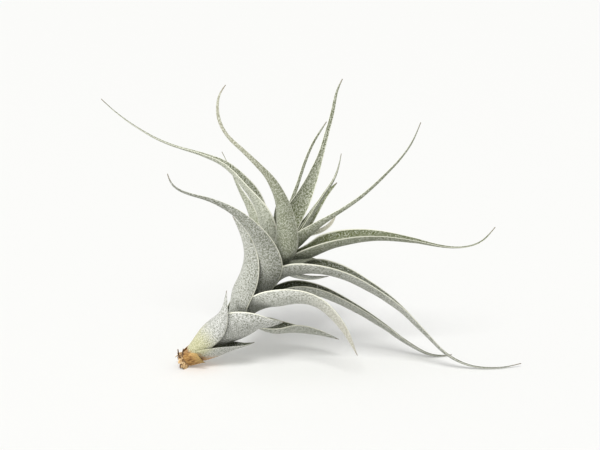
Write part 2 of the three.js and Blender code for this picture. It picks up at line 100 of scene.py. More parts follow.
# at: where the sheath starts along the stem. turn: degrees round it, 90 to the front, 270 to the
# back. sheath: its length. flare: how much it widens for each millimetre. wrap, end_wrap: half the
# angle that it wraps, at its start and at its end. half: half the blade's width. full: how long
# the blade stays broad. neck: the share of its length where it has become narrow, and tail: the
# share of its width that is left there. roll: degrees that it is turned over. path: the points
# that it passes through past its sheath. Numbers 4, 5, 7, 9, 10, 11, 13, 14, 18, 19 and 26 have a
# little more or less width, roll or tail than on the part, or another path. The rest are as on it.
LEAVES = [
    dict(at=4.6, turn=160, sheath=14, flare=0.36, end_wrap=60, half=7, roll=38, tone="lower",
         path=[(24, -5.6, 11.4), (29, -6.6, 12.8), (34, -5.4, 14.8)]),
    dict(at=6.5, turn=45, sheath=13, flare=0.32, half=9.5, neck=0.95, tail=0.15, tone="lower",
         path=[(15, -9.2, 25.4), (19, -10.6, 33.4), (20.7, -9.6, 43)]),
    dict(at=10, turn=285, sheath=11, flare=0.3, half=5.5, tone="lower",
         path=[(17, 16, 20), (16, 27, 12), (16, 37, 3.9), (15, 46, 1.1), (13, 54, 2.4)]),
    dict(at=17, turn=118, sheath=16, flare=0.42, end_wrap=74, half=15.4, full=0.95, tone="lower",
         path=[(33, -14.4, 26.2), (41, -15.6, 26.8), (48.8, -14.4, 28.6)]),
    dict(at=24, turn=210, sheath=14, flare=0.46, end_wrap=42, half=10.8, full=2.6, roll=-37,
         tone="middle", path=[(41, 3, 17), (50, 5.5, 16.2), (63, 7, 14.8), (76, 7, 12)]),
    dict(at=29, turn=268, half=8, tone="middle",
         path=[(30, 24, 32), (32, 41, 31), (33, 58, 26), (33, 72, 17)]),
    dict(at=33, turn=32, sheath=13, end_wrap=56, half=10, full=2.5, tone="middle",
         path=[(29, -10.5, 52), (30.5, -12, 61), (28.5, -11, 71), (24, -8, 80)]),
    dict(at=38, turn=130, end_wrap=49, half=11.2, full=1.7, tone="middle",
         path=[(44.2, -15, 36.6), (50, -19, 39.3), (57, -21.5, 40.6), (64, -23, 39.4),
               (70, -24, 35), (76, -24, 28.2), (84, -23, 14.4)]),
    dict(at=41, turn=312, end_wrap=46, half=7.4, full=1.4, tone="middle",
         path=[(31, 17, 46.5), (32, 34, 51), (33, 52, 54), (35, 67, 52)]),
    dict(at=45, turn=172, half=9.8, full=1.55, roll=5, tone="middle",
         path=[(54, 0, 39), (66, 3, 36), (81, 7, 28), (97, 10, 17.5), (112, 12, 6.5),
               (124, 13.5, 0.4), (134, 15, 0.9)]),
    dict(at=48, turn=70, end_wrap=54, half=10.1, neck=0.8, tail=0.34, tone="middle",
         path=[(39.8, -16.9, 57.1), (37.6, -20, 68), (32.4, -23, 77.5), (25, -24, 85.5),
               (14, -25, 92), (4, -25, 95), (-3, -26, 99), (-5, -26, 105)]),
    dict(at=51, turn=255, tone="middle",
         path=[(46, 18, 44), (54, 31, 37), (62.5, 43, 32.6), (71.5, 53, 31)]),
    dict(at=54, turn=144, end_wrap=48, half=11.6, neck=0.86, tail=0.46, roll=10, tone="middle",
         path=[(54.4, -10.6, 51), (64, -15.2, 53.6), (76, -15, 51), (89, -13, 44), (103, -10, 34),
               (117, -7, 20), (130, -5, 7), (142, -4, 1.3), (155, -3, 0.3), (167, -1, 2)]),
    dict(at=56, turn=349, half=13.4, neck=0.85, roll=6, tone="upper",
         path=[(33, 8, 66), (30.6, 15, 76), (25.4, 22, 86), (21, 28, 96), (17, 32, 103)]),
    dict(at=58, turn=215, half=8, full=1.4, tone="upper",
         path=[(56, 15, 49), (65, 33, 43), (74, 52, 36), (81, 68, 28)]),
    dict(at=60, turn=88, half=7.9, neck=0.65, tone="upper",
         path=[(49, -17.7, 65), (49.5, -21, 78), (47.8, -23, 90), (42.4, -24, 102),
               (36, -24, 109.3), (29, -22, 116), (23, -20, 121), (19, -19, 128), (18, -18, 135),
               (19, -17, 141), (22, -16, 145)]),
    dict(at=62, turn=300, half=8, full=1.4, tone="upper",
         path=[(42, 18.6, 62), (43.6, 34, 61), (47, 50, 56), (50, 63, 46)]),
    dict(at=64, turn=172, half=12.8, neck=0.85, tail=0.2, roll=14, tone="upper",
         path=[(60.6, -3.4, 57.2), (67, -6, 61.2), (76, -5, 64.4), (88, -3, 66.2),
               (101, -1, 65.8), (115, 3, 63.2), (127, 6, 60.2), (138, 9, 59.4), (147, 12, 61.5),
               (154, 16, 68)]),
    dict(at=66, turn=40, half=11, neck=0.62, tail=0.34, roll=-46, tone="upper",
         path=[(37.3, -6.9, 76), (33.2, -2.4, 86), (26.4, 1, 95), (19, 4, 102), (6, 8, 107),
               (-6, 12, 110), (-18, 15, 115), (-32, 18, 124), (-41, 20, 132)]),
    dict(at=68, turn=232, half=3.4, tone="upper",
         path=[(59, 17, 63), (66, 24, 63), (72, 32, 65), (75, 37, 69)]),
    dict(at=70, turn=134, half=6, neck=0.37, tail=0.38, tone="upper",
         path=[(61, -10, 71), (68, -14, 78), (76, -16, 84), (86, -15, 91), (95, -13, 99),
               (104, -10, 108), (110, -7, 116), (114, -4, 125)]),
    dict(at=72, turn=228, end_wrap=40, half=4.4, tone="upper",
         path=[(59, 13, 68), (65, 17, 77), (70, 21, 84), (75, 24, 89)]),
    dict(at=74, turn=318, sheath=11, half=5, neck=0.4, tone="upper",
         path=[(49, 20, 74), (54, 28, 84), (58, 34, 95), (63, 40, 106), (70, 45, 116)]),
    dict(at=76, turn=176, sheath=10, half=5.4, full=1.1, tone="upper",
         path=[(62, 3, 75), (68, 7, 85), (74, 11, 94), (76, 13, 100), (77, 14, 106)]),
    dict(at=78, turn=60, sheath=8, half=5, tone="upper",
         path=[(45, -8, 80), (46, -7, 88)]),
    dict(at=80, turn=275, sheath=8, half=6.4, neck=0.6, tail=0.32, tone="upper",
         path=[(56.5, 18, 80), (62, 25, 90), (67, 32, 102), (70, 36, 112), (73, 40, 122),
               (75, 43, 132), (78, 45, 138)]),
]

DRY_SHEATHS = [  # they flare and taper a little differently here than on the part
    dict(at=2.6, turn=110, sheath=5, flare=0.37, wrap=80, half=7.5, full=1.3,
         path=[(6.6, -7.8, 6.2), (7.8, -8.4, 6.8)]),
    dict(at=2.6, turn=262, sheath=5, flare=0.37, wrap=66, half=7, full=1.3,
         path=[(5.6, 8.1, 7.6), (6.7, 8.7, 8.3)]),
]
BUD = [          # small blades in the crown, which only show here
    dict(at=82, turn=150, sheath=3, flare=0.2, half=2.4, full=1.5,
         path=[(52.2, -1.6, 71.5), (54.0, -1.2, 76)]),
    dict(at=82, turn=20, sheath=3, flare=0.2, half=2.2, full=1.5,
         path=[(47.6, -1.2, 73), (50.0, -0.6, 78)]),
    dict(at=82, turn=268, sheath=3, flare=0.2, half=2.2, full=1.5,
         path=[(50.6, 2.4, 72.5), (52.6, 2.2, 77)]),
]
BLEACHED = {8: 0.6, 3: 0.5, 16: 0.4, 20: 0.8}   # leaves gone pale towards the tip, and how far
THINNER_COAT_AND_SHADE = {        # how much thinner the silver coat is on a leaf than on the rest of its kind, partly painted shade where it lies in the shade of others
    1: 0.1, 4: 0.12, 5: 0.12, 8: -0.1, 9: 0.1, 10: 0.1, 11: 0.22, 12: -0.35, 13: 0.05, 14: 0.1,
    15: 0.25, 16: 0.3, 17: 0.3, 18: 0.2, 19: -0.15, 21: 0.2, 22: 0.1, 23: -0.2, 24: 0.2, 25: 0.2,
    26: -0.2,
}
DRY_SHEATH_SEED = 40   # a leaf's seed is its own number; the others' come after these
BUD_SEED = 50

# ---- how fine the leaves are here ----
ROW_STEP = 0.8         # between rows along a leaf
FEWEST_ROWS = 4
COLUMNS = 24           # facets across each face
TIP_HALF_WIDTH = 0.55
TIP_POINT = 0.35       # share of that width left at the very point
TIP_STARTS = 0.9       # share of the leaf's length where it starts to come to a point
EDGE_WALL = 0.2        # the margins thin out to a film
TIP_WALL = 0.36
MARGIN_BULGE = 0.15    # how far a margin stands out, as a share of a facet
LENGTH_SMOOTHING = 3.0 # over how long a kink along the leaf is eased
CURVE_STEPS = 60       # points for each span of a curve
STEM_STRIDE = 6        # only every sixth point of the stem is looked at to find the nearest
RIPPLE = 0.16          # how far a face strays from its plain curve
RIPPLE_SIZE = 9.0
RIPPLE_SEED_STEP = 7.3
FLOOR_CLEARANCE = 0.05
UNDER_LIMIT = 8.0      # how far below or above the stem's middle is still told apart
UV_NAME = "UVMap"
UV_INSIDE_SHIFT = 40   # keeps the patterns of the two faces of a leaf apart
UV_LEAF_SHIFT = 90     # and those of different leaves

# ---- the stub: torn sheath ends, broken fibres, dry roots ----
# Torn ends as on the part: turn, share of the full length, share of the full spread.
TORN = [(15, 0.35, 0.55), (75, 0.7, 0.75), (128, 1, 1), (180, 1, 1), (238, 1, 1), (300, 0.6, 0.7)]
TORN_ROWS = [(-2.6, 5.0), (-1.0, 4.8), (0.8, 4.2), (2.2, 3.0), (3.2, 3.0)]   # distance, radius
TORN_LAYERS = [        # turned by, half the angle, reach, radius, crumpled
    (0, 52, 1.0, 1.0, 0.45), (33, 30, 0.95, 0.86, 0.9), (-22, 26, 0.9, 0.7, 1.0),
    (12, 24, 0.8, 0.5, 1.0),
]
TORN_TURN_STEP = 4     # each torn end is turned this much further than the one before
TORN_SEED_STEP = 10    # from one layer to the next
TORN_WALL = 0.2
TORN_STEPS = 26
TORN_COLUMNS = 22
TORN_NARROWING = 0.8   # share of the angle left at the open end
TORN_REACH = 0.85      # how much of a torn end is left in its middle
TORN_CORNER_LOSS = 0.25
TORN_SHORTEST = 0.35
CRUMPLE = 0.9
TEAR = 0.8
FINE_FOLDS = 0.6       # how strong the small folds and tears are beside the large ones
TORN_UV_STEP = 0.3
TORN_UV_LENGTH = 6.0
ROOTS = [
    [(-2.4, -2.6, 4.4), (-3.7, -3.4, 7.4), (-4.1, -3.4, 10.6)],
    [(-0.9, -2.8, 4.8), (-1.8, -3.4, 7.8), (-1.4, -3.2, 10.8)],
    [(-0.6, 1, 3), (-2.4, 3.6, 5), (-3.4, 5.6, 4.4)],
    [(-0.6, 1, 2.6), (-0.8, 4.6, 3), (-1.2, 7.2, 1.8)],
    [(-1.4, -0.8, 2.6), (-2.8, -2.6, 2.4), (-3.2, -3.9, 1.2)],
    [(-1.6, 0.6, 2.8), (-3.2, 0.8, 3.4), (-4.2, 0.6, 4.6)],
]
ROOT_RADIUS = 0.6
ROOT_END_RADIUS = 0.25
ROOT_SEED_STEP = 1.7
FIBRES = 34
FIBRE_TURN = 137.5     # from one fibre to the next, so that they spread evenly
FIBRE_SPREAD = 2.6     # the radius they stand within
FIBRE_RADIUS = 0.2
FIBRE_END_RADIUS = 0.04
FIBRE_SUNK = 1.0       # how far a fibre is rooted in the stem
FIBRE_LENGTH = 0.9     # how far a fibre stands out of the break
FIBRE_UNEVEN = 1.4     # and how much that varies: they come out 0.7 to 2.5 long
FIBRE_LEAN = 0.3       # how far it leans outwards
FIBRE_BEND = 0.6
THREAD_SIDE = (0.3, 0.9, 0.2)   # a direction that no root or fibre starts along
THREAD_TAPER = 1.4
THREAD_UNEVEN = 0.35
TUBE_UV_STEP = 0.45
RING_STEP = 0.5
STEM_SIDES = 40
STEM_SIDE_ANGLE = 0.157         # a fortieth of a turn, nearly; for the roughness
STEM_ROUGHNESS = 0.075
SCAR_SPACING = 2.3     # between the ridges that old leaves left on the stem
SCAR_HEIGHT = 0.12
GROWING_TIP = 2.5      # the length over which the stem's tip is rounded
GROWING_TIP_START = 0.08
BROKEN_RINGS = [(0.35, 0.5), (0.75, 0.25)]   # share of the radius, depth
BROKEN_UNEVEN = 0.45

# ---------------------------------------------------------------- curves

def clamp(value, low=0.0, high=1.0):
    return max(low, min(high, value))


def mix(a, b, part):
    return a + (b - a) * part


def ease(value, start, end):
    part = clamp((value - start) / (end - start))
    return part * part * (3 - 2 * part)


def along(table, distance):
    """The value at a distance, in a list of (distance, value)."""
    return float(np.interp(distance, [row[0] for row in table], [row[1] for row in table]))


def unit(v):
    return v / np.linalg.norm(v)


def distances_along(points):
    """How far each point of a line lies from its start."""
    steps = np.linalg.norm(np.diff(points, axis=0), axis=1)
    return np.concatenate([[0], np.cumsum(steps)])


class Line:
    """A smooth curve through points, read by the distance along it."""

    def __init__(self, points):
        p = [np.array(q, float) for q in points]
        p = [2 * p[0] - p[1], *p, 2 * p[-1] - p[-2]]
        dense = [self.span(*p[i:i + 4]) for i in range(len(p) - 3)]
        self.points = np.vstack([*dense, p[-2][None]])
        self.distances = distances_along(self.points)
        self.length = self.distances[-1]
        self.tangents = np.gradient(self.points, self.distances, axis=0)

    @staticmethod
    def span(before, start, end, after):
        """Points of one span, without its end."""
        pairs = ((before, start), (start, end), (end, after))
        a, b, c = (np.linalg.norm(v - u) ** 0.5 for u, v in pairs)
        leave = ((start - before) / a - (end - before) / (a + b) + (end - start) / b) * b
        arrive = ((end - start) / b - (after - start) / (b + c) + (after - end) / c) * b
        t = np.linspace(0, 1, CURVE_STEPS, endpoint=False)[:, None]
        bend = (2 * start - 2 * end + leave + arrive) * t ** 3
        return start + leave * t + (3 * end - 3 * start - 2 * leave - arrive) * t ** 2 + bend

    def read(self, table, distance):
        return np.array([np.interp(distance, self.distances, table[:, k]) for k in range(3)])

    def at(self, distance):
        """Point and tangent. Past either end the line runs straight on."""
        inside = clamp(distance, 0, self.length)
        tangent = unit(self.read(self.tangents, inside))
        return self.read(self.points, inside) + tangent * (distance - inside), tangent


stem_line = Line(STEM_LINE)


def outward(tangent, turn):
    """Direction out from the stem at a turn round it."""
    a = math.radians(turn)
    up = np.array([-tangent[2], 0, tangent[0]])
    return math.cos(a) * up + math.sin(a) * np.array([0, -1, 0])


# ---------------------------------------------------------------- leaves

def seat_radius(leaf):
    """From the middle of the stem to the outer face of a leaf's sheath, where that starts."""
    return along(STEM_RADII, leaf["at"]) + SEAT_GAP + SHEATH_WALL


def sheath_rows(leaf):
    """Rows round the stem, each on a slightly wider circle."""
    length = leaf.get("sheath", SHEATH_LENGTH)
    flare = leaf.get("flare", SHEATH_FLARE)
    seat = seat_radius(leaf)
    rows = []
    for distance in np.linspace(0, length, max(FEWEST_ROWS, round(length / ROW_STEP))):
        point, tangent = stem_line.at(leaf["at"] + distance)
        out = outward(tangent, leaf["turn"])
        radius = seat + flare * distance
        wrap = mix(leaf.get("wrap", BASE_WRAP), leaf.get("end_wrap", END_WRAP), distance / length)
        rows.append(dict(
            middle=point + out * radius, inward=-out, sideways=-np.cross(tangent, out),
            radius=radius, angle=math.radians(wrap), wall=SHEATH_WALL, part=0.0,
        ))
    return rows


def blade_half_width(leaf, part):
    """A leaf with a neck is broad up to it and narrow past it."""
    half = leaf.get("half", BLADE_HALF_WIDTH)
    tip = TIP_HALF_WIDTH * mix(1, TIP_POINT, ease(part, TIP_STARTS, 1))
    if "neck" not in leaf:
        return mix(half, tip, part ** leaf.get("full", BLADE_FULLNESS))
    tail = leaf.get("tail", TAIL_SHARE)
    broad = (1 - tail) * (1 - ease(part, 0, leaf["neck"]))
    return tip + half * (broad + tail * (1 - part))


def blade_rows(leaf, last):
    """Rows of the blade: the channel is carried along the path without turning round it.

    The curve is led in from a point two thirds along the sheath, so that it leaves smoothly.
    """
    length = leaf.get("sheath", SHEATH_LENGTH)
    flare = leaf.get("flare", SHEATH_FLARE)
    before, tangent = stem_line.at(leaf["at"] + length * 2 / 3)
    lead = before + outward(tangent, leaf["turn"]) * (seat_radius(leaf) + flare * length * 2 / 3)
    curve = Line([lead, last["middle"], *leaf["path"]])
    start = float(curve.distances[CURVE_STEPS])
    reach = curve.length - start
    start_width = last["radius"] * last["angle"]
    sideways = last["sideways"]
    rows = []
    for travelled in np.linspace(0, reach, round(reach / ROW_STEP))[1:]:
        middle, tangent = curve.at(start + travelled)
        sideways = unit(sideways - tangent * sideways.dot(tangent))
        inward = -np.cross(tangent, sideways)
        part = travelled / reach
        free = ease(travelled, 0, BLADE_BLEND)
        roll = math.radians(leaf.get("roll", 0)) * ease(travelled, 0, ROLL_BLEND)
        across = sideways * math.cos(roll) - inward * math.sin(roll)
        inward = inward * math.cos(roll) + sideways * math.sin(roll)
        inward = unit(mix(last["inward"], inward, free))
        width = mix(start_width, blade_half_width(leaf, part), free)
        channel = math.radians(mix(CHANNEL_ANGLE, TIP_CHANNEL_ANGLE, part))
        radius = max(width / mix(last["angle"], channel, free), SMALLEST_CHANNEL)
        rows.append(dict(
            middle=middle, inward=inward, sideways=across, radius=radius, angle=width / radius,
            wall=mix(mix(SHEATH_WALL, BLADE_WALL, free), TIP_WALL, part), part=part,
        ))
    return rows


def smoothed(grid, rows_each_side):
    """A grid of points eased along its rows; both ends stay where they are."""
    steps = np.arange(-2 * rows_each_side, 2 * rows_each_side + 1)
    weights = np.exp(-0.5 * (steps / max(rows_each_side, 1)) ** 2)
    count = len(grid)
    eased = np.zeros_like(grid)
    for step, weight in zip(steps, weights / weights.sum()):
        at = np.arange(count) + step
        low, high = at < 0, at >= count
        near = grid[np.clip(at, 0, count - 1)]
        near[low] = 2 * grid[0] - grid[-at[low]]
        near[high] = 2 * grid[-1] - grid[2 * (count - 1) - at[high]]
        eased += near * weight
    return eased


def outer_grid(rows):
    """Points of a leaf's outer face, rows by columns."""
    spread = np.linspace(-1, 1, COLUMNS + 1)
    grid = np.zeros((len(rows), COLUMNS + 1, 3))
    for i, row in enumerate(rows):
        a = (spread * row["angle"])[:, None]
        out = -np.cos(a) * row["inward"] + np.sin(a) * row["sideways"]
        grid[i] = row["middle"] + row["inward"] * row["radius"] + out * row["radius"]
    return smoothed(grid, round(LENGTH_SMOOTHING / ROW_STEP))


def grid_normals(grid):
    """Unit normals of a grid, away from the channel."""
    down = np.gradient(grid, axis=0)
    across = np.gradient(grid, axis=1)
    normals = np.cross(down, across)
    return normals / np.maximum(np.linalg.norm(normals, axis=2, keepdims=True), 1e-9)


def rippled(grid, normals, seed):
    """The grid with the slight unevenness of a grown leaf."""
    offset = Vector((seed * RIPPLE_SEED_STEP, 0, 0))
    shift = np.zeros(grid.shape[:2])
    for i, j in np.ndindex(shift.shape):
        shift[i, j] = noise.noise(Vector(grid[i, j] / RIPPLE_SIZE) + offset)
    return grid + normals * (shift * RIPPLE)[..., None]


def thick_rings(grid, normals, thick):
    """Rings round a sheet: its outer face, one margin, its inner face, the other margin."""
    inner = grid - normals * thick[..., None]
    left = (grid[:, :1] + inner[:, :1]) / 2 + (grid[:, :1] - grid[:, 1:2]) * MARGIN_BULGE
    right = (grid[:, -1:] + inner[:, -1:]) / 2 + (grid[:, -1:] - grid[:, -2:-1]) * MARGIN_BULGE
    rings = np.concatenate([grid, right, inner[:, ::-1], left], axis=1)
    rings[..., 2] = np.maximum(rings[..., 2], FLOOR_CLEARANCE)
    return rings


def leaf_surface(leaf, seed):
    """Rings of points round a leaf, and what its material reads.

    That is inside and across for each point of a ring, and part, run along the leaf and half its
    width for each ring.
    """
    sheath = sheath_rows(leaf)
    rows = [*sheath, *blade_rows(leaf, sheath[-1])]
    grid = outer_grid(rows)
    normals = grid_normals(grid)
    grid = rippled(grid, normals, seed)
    spread = np.linspace(-1, 1, COLUMNS + 1)
    wall = np.array([row["wall"] for row in rows])[:, None]
    edge = np.minimum(wall, EDGE_WALL)
    thick = edge + (wall - edge) * np.cos(spread * math.pi / 2) ** 2
    count = COLUMNS + 1
    return thick_rings(grid, normals, thick), dict(
        inside=np.concatenate([np.zeros(count), [0.5], np.ones(count), [0.5]]),
        across=np.concatenate([spread, [1.0], spread[::-1], [-1.0]]),
        part=np.array([row["part"] for row in rows]),
        run=distances_along(grid[:, COLUMNS // 2]),
        half=np.array([row["radius"] * row["angle"] for row in rows]),
    )


def side_faces(rows, count):
    """Faces between neighbouring rings of points, each with the same count."""
    faces = []
    for i in range(rows - 1):
        for j in range(count):
            k = (j + 1) % count
            faces.append((i * count + j, i * count + k, (i + 1) * count + k, (i + 1) * count + j))
    return faces


def ring_faces(rows, count):
    """Faces of a tube of flat rings, closed at both ends."""
    faces = side_faces(rows, count)
    for row, flip in ((0, True), (rows - 1, False)):
        base = row * count
        for j in range(count // 2 - 1):
            quad = (base + j, base + j + 1, base + count - 2 - j, base + (count - 1 - j))
            faces.append(tuple(reversed(quad)) if flip else quad)
    return faces


def nearest_on_stem(points):
    """For each point, which of the looked-at points of the stem is the nearest."""
    apart = points[:, None, :] - stem_line.points[None, ::STEM_STRIDE, :]
    return np.linalg.norm(apart, axis=2).argmin(axis=1)


def foot_distance(points):
    """How far along the stem each point lies, from the stub's end."""
    return stem_line.distances[::STEM_STRIDE][nearest_on_stem(points)]


def under_side(points):
    """How far each point lies below the middle of the stem, near it; less than zero above it."""
    nearest = nearest_on_stem(points)
    offset = points - stem_line.points[::STEM_STRIDE][nearest]
    tangents = stem_line.tangents[::STEM_STRIDE][nearest]
    down = np.stack([tangents[:, 2], np.zeros(len(points)), -tangents[:, 0]], axis=1)
    return np.clip((offset * down).sum(axis=1), -UNDER_LIMIT, UNDER_LIMIT)


def new_piece(name, vertices, faces, material):
    """A smooth mesh piece, riding on the part's body. Vertices are millimetres."""
    mesh = bpy.data.meshes.new(name)
    mesh.from_pydata((np.asarray(vertices) * MM).tolist(), [], faces)
    mesh.polygons.foreach_set("use_smooth", [True] * len(mesh.polygons))
    mesh.materials.append(material)
    piece = bpy.data.objects.new(name, mesh)
    bpy.context.scene.collection.objects.link(piece)
    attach(piece, "root")
    return piece


def put_numbers(mesh, name, values):
    attribute = mesh.attributes.new(name, "FLOAT", "POINT")
    attribute.data.foreach_set("value", np.asarray(values, np.float32))


def put_uv(mesh, over, run):
    """A UV map in millimetres: over the leaf, and along it."""
    corners = np.zeros(len(mesh.loops), np.int32)
    mesh.loops.foreach_get("vertex_index", corners)
    pairs = np.stack([over[corners], run[corners]], axis=1)
    mesh.uv_layers.new(name=UV_NAME).data.foreach_set("uv", pairs.astype(np.float32).ravel())


def leaf_piece(name, leaf, material, seed):
    ring, facts = leaf_surface(leaf, seed)
    rows, count = ring.shape[:2]
    points = ring.reshape(-1, 3)
    piece = new_piece(name, points, ring_faces(rows, count), material)
    inside = np.tile(facts["inside"], rows)
    numbers = {
        "inside": inside,
        "across": np.tile(np.abs(facts["across"]), rows),
        "part": np.repeat(facts["part"], count),
        "foot": foot_distance(points),
        "under": under_side(points),
        "pale": np.full(len(points), BLEACHED.get(seed, 0.0)),
        "thinner_coat_and_shade": np.full(len(points), THINNER_COAT_AND_SHADE.get(seed, 0.0)),
    }
    for key, values in numbers.items():
        put_numbers(piece.data, key, values)
    over = (facts["half"][:, None] * facts["across"][None, :]).ravel()
    over = over + inside * UV_INSIDE_SHIFT + seed * UV_LEAF_SHIFT
    put_uv(piece.data, over, np.repeat(facts["run"], count))
    return piece


# ---------------------------------------------------------------- stem and stub

def at_noise(*place):
    return noise.noise(Vector(place))


class Shapes:
    """Collects several closed shapes into one mesh."""

    def __init__(self):
        self.points = []
        self.faces = []
        self.uv = []

    def add(self, points, faces, uv):
        start = len(self.points)
        self.points += [tuple(p) for p in points]
        self.faces += [tuple(start + k for k in face) for face in faces]
        self.uv += [tuple(q) for q in uv]

    def piece(self, name, material, slot_name):
        piece = new_piece(name, self.points, self.faces, material)
        put_numbers(piece.data, "foot", foot_distance(np.array(self.points)))
        uv = np.array(self.uv)
        put_uv(piece.data, uv[:, 0], uv[:, 1])
        return piece


def tube(shapes, rings, along_it):
    """Adds rings of points with the same count, closed at both ends by a point."""
    count = len(rings[0])
    points = [p for ring in rings for p in ring]
    uv = [(TUBE_UV_STEP * k, along_it[i]) for i in range(len(rings)) for k in range(count)]
    faces = side_faces(len(rings), count)
    for ring, flip in ((0, True), (len(rings) - 1, False)):
        centre = len(points)
        points.append(np.mean(rings[ring], axis=0))
        uv.append((0, along_it[ring]))
        for k in range(count):
            face = (ring * count + k, ring * count + (k + 1) % count, centre)
            faces.append(tuple(reversed(face)) if flip else face)
    shapes.add(points, faces, uv)


def thread(shapes, points, start_radius, end_radius, seed, sides=8, steps=14):
    """Adds a tapering root or fibre, slightly uneven."""
    line = Line(points)
    rings = []
    side = None
    for i in range(steps + 1):
        point, tangent = line.at(line.length * i / steps)
        side = np.cross(tangent, THREAD_SIDE) if side is None else side
        side = unit(side - tangent * side.dot(tangent))
        other = np.cross(tangent, side)
        radius = mix(start_radius, end_radius, (i / steps) ** THREAD_TAPER)
        radius = radius * (1 + THREAD_UNEVEN * at_noise(i * 0.6, seed, 0))
        ring = []
        for k in range(sides):
            a = -2 * math.pi * k / sides
            spot = point + (side * math.cos(a) + other * math.sin(a)) * radius
            spot[2] = max(spot[2], FLOOR_CLEARANCE)
            ring.append(spot)
        rings.append(ring)
    tube(shapes, rings, np.linspace(0, line.length, steps + 1))


def torn_end(shapes, turn, half, reach, spread, scale, crumple, torn, seed):
    """Adds a papery sheath end that opens backwards, crumpled and torn off in an uneven line."""
    first, narrow = TORN_ROWS[-1]
    whole = first - TORN_ROWS[0][0]
    grid = np.zeros((TORN_STEPS + 1, TORN_COLUMNS + 1, 3))
    for j in range(TORN_COLUMNS + 1):
        across = 2 * j / TORN_COLUMNS - 1
        tear = at_noise(seed * 3.1, across * 1.9, 0)
        tear += FINE_FOLDS * at_noise(seed * 3.1, across * 8.0, 4)
        share = TORN_REACH - TORN_CORNER_LOSS * across ** 2 + torn * tear
        share = clamp(share, TORN_SHORTEST, 1.0)
        for i in range(TORN_STEPS + 1):
            part = share * i / TORN_STEPS
            wide = along(TORN_ROWS, first - whole * part)
            point, tangent = stem_line.at(first - whole * part * reach)
            fold = at_noise(part * 4, across * 2.6, seed)
            fold += FINE_FOLDS * at_noise(part * 9, across * 7, seed)
            radius = (narrow + (wide - narrow) * spread) * scale
            radius = radius + crumple * min(1.0, 2 * part) * fold
            out = outward(tangent, turn - half * across * mix(1, TORN_NARROWING, part))
            grid[i, j] = point + out * radius
    rings = thick_rings(grid, grid_normals(grid), np.full(grid.shape[:2], TORN_WALL))
    rows, count = rings.shape[:2]
    uv = [(TORN_UV_STEP * k, TORN_UV_LENGTH * i / rows + seed)
          for i in range(rows) for k in range(count)]
    shapes.add(rings.reshape(-1, 3), ring_faces(rows, count), uv)


def stem_side(tangent, k):
    """Direction out from the stem to its side number k."""
    return outward(tangent, -360 * k / STEM_SIDES)


def bare_stem():
    """The stem with the ridges of old leaves, broken off below and rounded at its growing tip."""
    shapes = Shapes()
    point, tangent = stem_line.at(STUB_START)
    rings = []
    for share, depth in BROKEN_RINGS:
        ring = []
        for k in range(STEM_SIDES):
            broken = depth + BROKEN_UNEVEN * at_noise(k * 0.55, share * 9, 3)
            radius = STEM_RADII[0][1] * share
            ring.append(point - tangent * broken + stem_side(tangent, k) * radius)
        rings.append(ring)
    spans = np.arange(STUB_START, STEM_LENGTH + RING_STEP, RING_STEP)
    for distance in spans:
        point, tangent = stem_line.at(distance)
        ridge = SCAR_HEIGHT * max(0.0, math.cos(2 * math.pi * distance / SCAR_SPACING)) ** 4
        left = clamp((STEM_LENGTH - distance) / GROWING_TIP + GROWING_TIP_START)
        radius = (along(STEM_RADII, distance) + ridge) * math.sqrt(1 - (1 - left) ** 2)
        ring = []
        for k in range(STEM_SIDES):
            a = k * STEM_SIDE_ANGLE
            rough = at_noise(distance * 0.7, 2.1 * math.cos(a), 2.1 * math.sin(a))
            ring.append(point + stem_side(tangent, k) * radius * (1 + rough * STEM_ROUGHNESS))
        rings.append(ring)
    tube(shapes, rings, [0, 0.5, *spans])
    return shapes


def stub_threads():
    """Dry roots, and the fibres that stick out where the stem broke off."""
    shapes = Shapes()
    for index, points in enumerate(ROOTS):
        thread(shapes, points, ROOT_RADIUS, ROOT_END_RADIUS, index * ROOT_SEED_STEP)
    point, tangent = stem_line.at(STUB_START)
    for index in range(FIBRES):
        radius = FIBRE_SPREAD * math.sqrt((index + 0.5) / FIBRES)
        out = outward(tangent, index * FIBRE_TURN)
        length = FIBRE_LENGTH + FIBRE_UNEVEN * (at_noise(index * 0.9, 2, 5) + 0.5)
        start = point + out * radius + tangent * FIBRE_SUNK
        bend = out * (FIBRE_LEAN + at_noise(index * 1.3, 7, 1)) * FIBRE_BEND
        end = start - tangent * (FIBRE_SUNK + length) + bend * 2 + out * FIBRE_LEAN
        thread(shapes, [start, (start + end) / 2 + bend, end], FIBRE_RADIUS, FIBRE_END_RADIUS,
               index, sides=5, steps=6)
    return shapes


def torn_ends():
    """Several layers of torn sheath ends, one inside the other."""
    shapes = Shapes()
    for index, (turn, reach, spread) in enumerate(TORN, 1):
        for layer, (turned, half, shorter, scale, crumpled) in enumerate(TORN_LAYERS):
            torn_end(shapes, turn + turned + TORN_TURN_STEP * index, half, reach * shorter, spread,
                     scale, CRUMPLE * crumpled, TEAR * crumpled, index + TORN_SEED_STEP * layer)
    return shapes


# ---------------------------------------------------------------- materials

